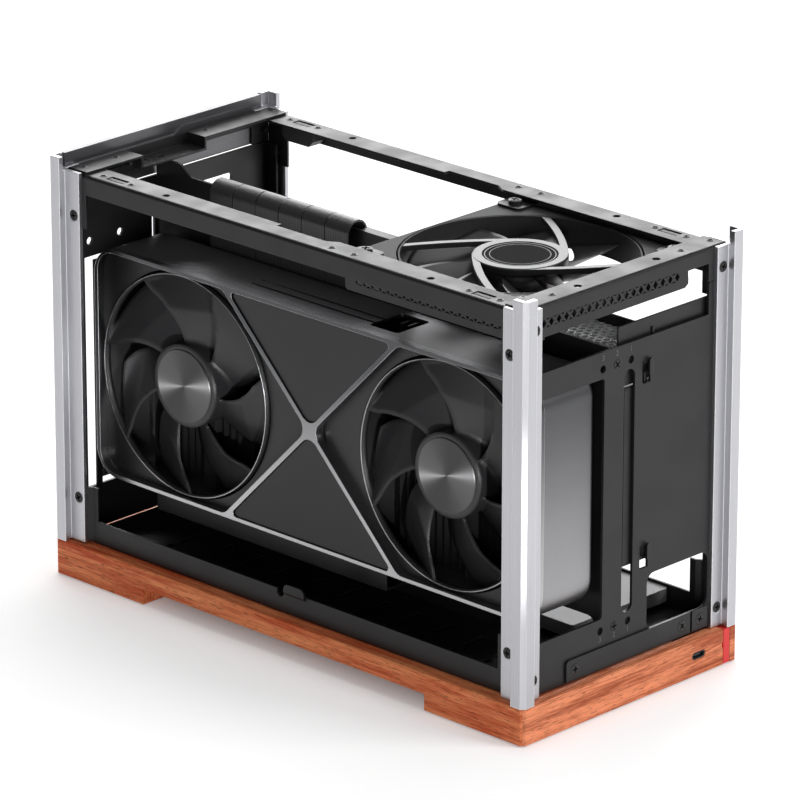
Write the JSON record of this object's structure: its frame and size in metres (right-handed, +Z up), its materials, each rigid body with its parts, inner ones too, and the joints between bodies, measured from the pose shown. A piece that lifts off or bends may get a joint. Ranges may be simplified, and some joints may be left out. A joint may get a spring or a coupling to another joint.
{
  "type": "mini-itx pc case",
  "caption": "Open sandwich-layout mini-ITX case: aluminium corner posts and folded steel frame on an arched wooden plinth, with a graphics card, riser and top fan fitted",
  "frame": {"origin": "bottom centre of the bounding box, on the surface that the pads stand on", "axes": "+Z up, -Y the front with the USB port and the power button, +Y the rear with the sockets, -X the graphics card side, +X the motherboard side"},
  "size_m": [0.155, 0.326, 0.224],
  "materials": {
    "oiled_wood": "oiled hardwood with a fine straight grain",
    "pad_rubber": "matt moulded rubber",
    "post_aluminium": "bead-blasted and anodised extrusion",
    "black_steel": "fine satin black powder coat",
    "dark_screw": "blackened steel",
    "cover_aluminium": "dark anodised bar with a brushed top edge",
    "clip_plastic": "moulded black plastic",
    "standoff_brass": "turned brass",
    "ribbon": "shielded flat cable",
    "card_trim": "cast frame with a satin silver edge",
    "card_shell_metal": "dark satin metal",
    "fin_metal": "blackened fins",
    "spun_metal": "disc with a circular brushed finish",
    "circuit_board": "black solder mask",
    "port_metal": "plated steel",
    "drive_metal": "satin grey metal case",
    "button_red": "red moulded bar"
  },
  "bodies": {
    "case": {"base_plinth": "oiled_wood", "board_standoffs": "standoff_brass", "card_backplate": "card_shell_metal", "card_bay_floor_front": "card_shell_metal", "card_bay_floor_rear": "card_shell_metal", "card_board": "circuit_board", "card_core": "card_shell_metal", "card_fins_front": "fin_metal", "card_fins_rear": "fin_metal", "card_frame": "card_trim", "card_io_bracket": "port_metal", "card_motor_mount_front": "clip_plastic", "card_motor_mount_rear": "clip_plastic", "card_panel_bottom": "card_shell_metal", "card_panel_top": "card_shell_metal", "card_ports": "port_metal", "card_shell": "card_shell_metal", "drive": "drive_metal", "drive_feet": "pad_rubber", "fan_frame": "clip_plastic", "fan_hanger_board_side": "black_steel", "fan_hanger_card_side": "black_steel", "fan_screws": "dark_screw", "floor_tray": "black_steel", "foot_pads": "pad_rubber", "front_io_board": "circuit_board", "front_plate": "black_steel", "front_screws": "dark_screw", "front_strap": "black_steel", "front_strap_end": "black_steel", "hung_bracket": "black_steel", "panel_clips": "clip_plastic", "post_front_board": "post_aluminium", "post_front_card": "post_aluminium", "post_rear_board": "post_aluminium", "post_rear_card": "post_aluminium", "post_screws": "dark_screw", "power_switch": "clip_plastic", "rail_board_side": "black_steel", "rail_card_side": "black_steel", "rail_front": "black_steel", "rail_rear": "black_steel", "rear_cover": "cover_aluminium", "rear_plate": "black_steel", "riser_bracket": "black_steel", "riser_plug": "clip_plastic", "riser_socket": "clip_plastic", "riser_strips": "ribbon", "spine_plate": "black_steel", "usb_c_port": "port_metal", "vent_shelf": "black_steel"},
    "case_fan_rotor": {"fan_rotor": "clip_plastic"},
    "card_fan_rear": {"card_rotor_rear": "clip_plastic", "card_hub_cap_rear": "spun_metal"},
    "card_fan_front": {"card_rotor_front": "clip_plastic", "card_hub_cap_front": "spun_metal"},
    "button": {"power_button": "button_red"}
  },
  "joints": [
    {"name": "case_fan_spin", "type": "hinge", "parent": "case", "child": "case_fan_rotor", "pos_m": [0, -0.087, 0.2], "axis": [0, 0, 1], "continuous": true},
    {"name": "card_fan_rear_spin", "type": "hinge", "parent": "case", "child": "card_fan_rear", "pos_m": [-0.05, 0.0898, 0.114], "axis": [1, 0, 0], "continuous": true},
    {"name": "card_fan_front_spin", "type": "hinge", "parent": "case", "child": "card_fan_front", "pos_m": [-0.05, -0.0914, 0.114], "axis": [1, 0, 0], "continuous": true},
    {"name": "button_press", "type": "slide", "parent": "case", "child": "button", "axis": [0, 1, 0], "range_m": [0, 0.001], "stiffness_N_per_m": 600}
  ]
}
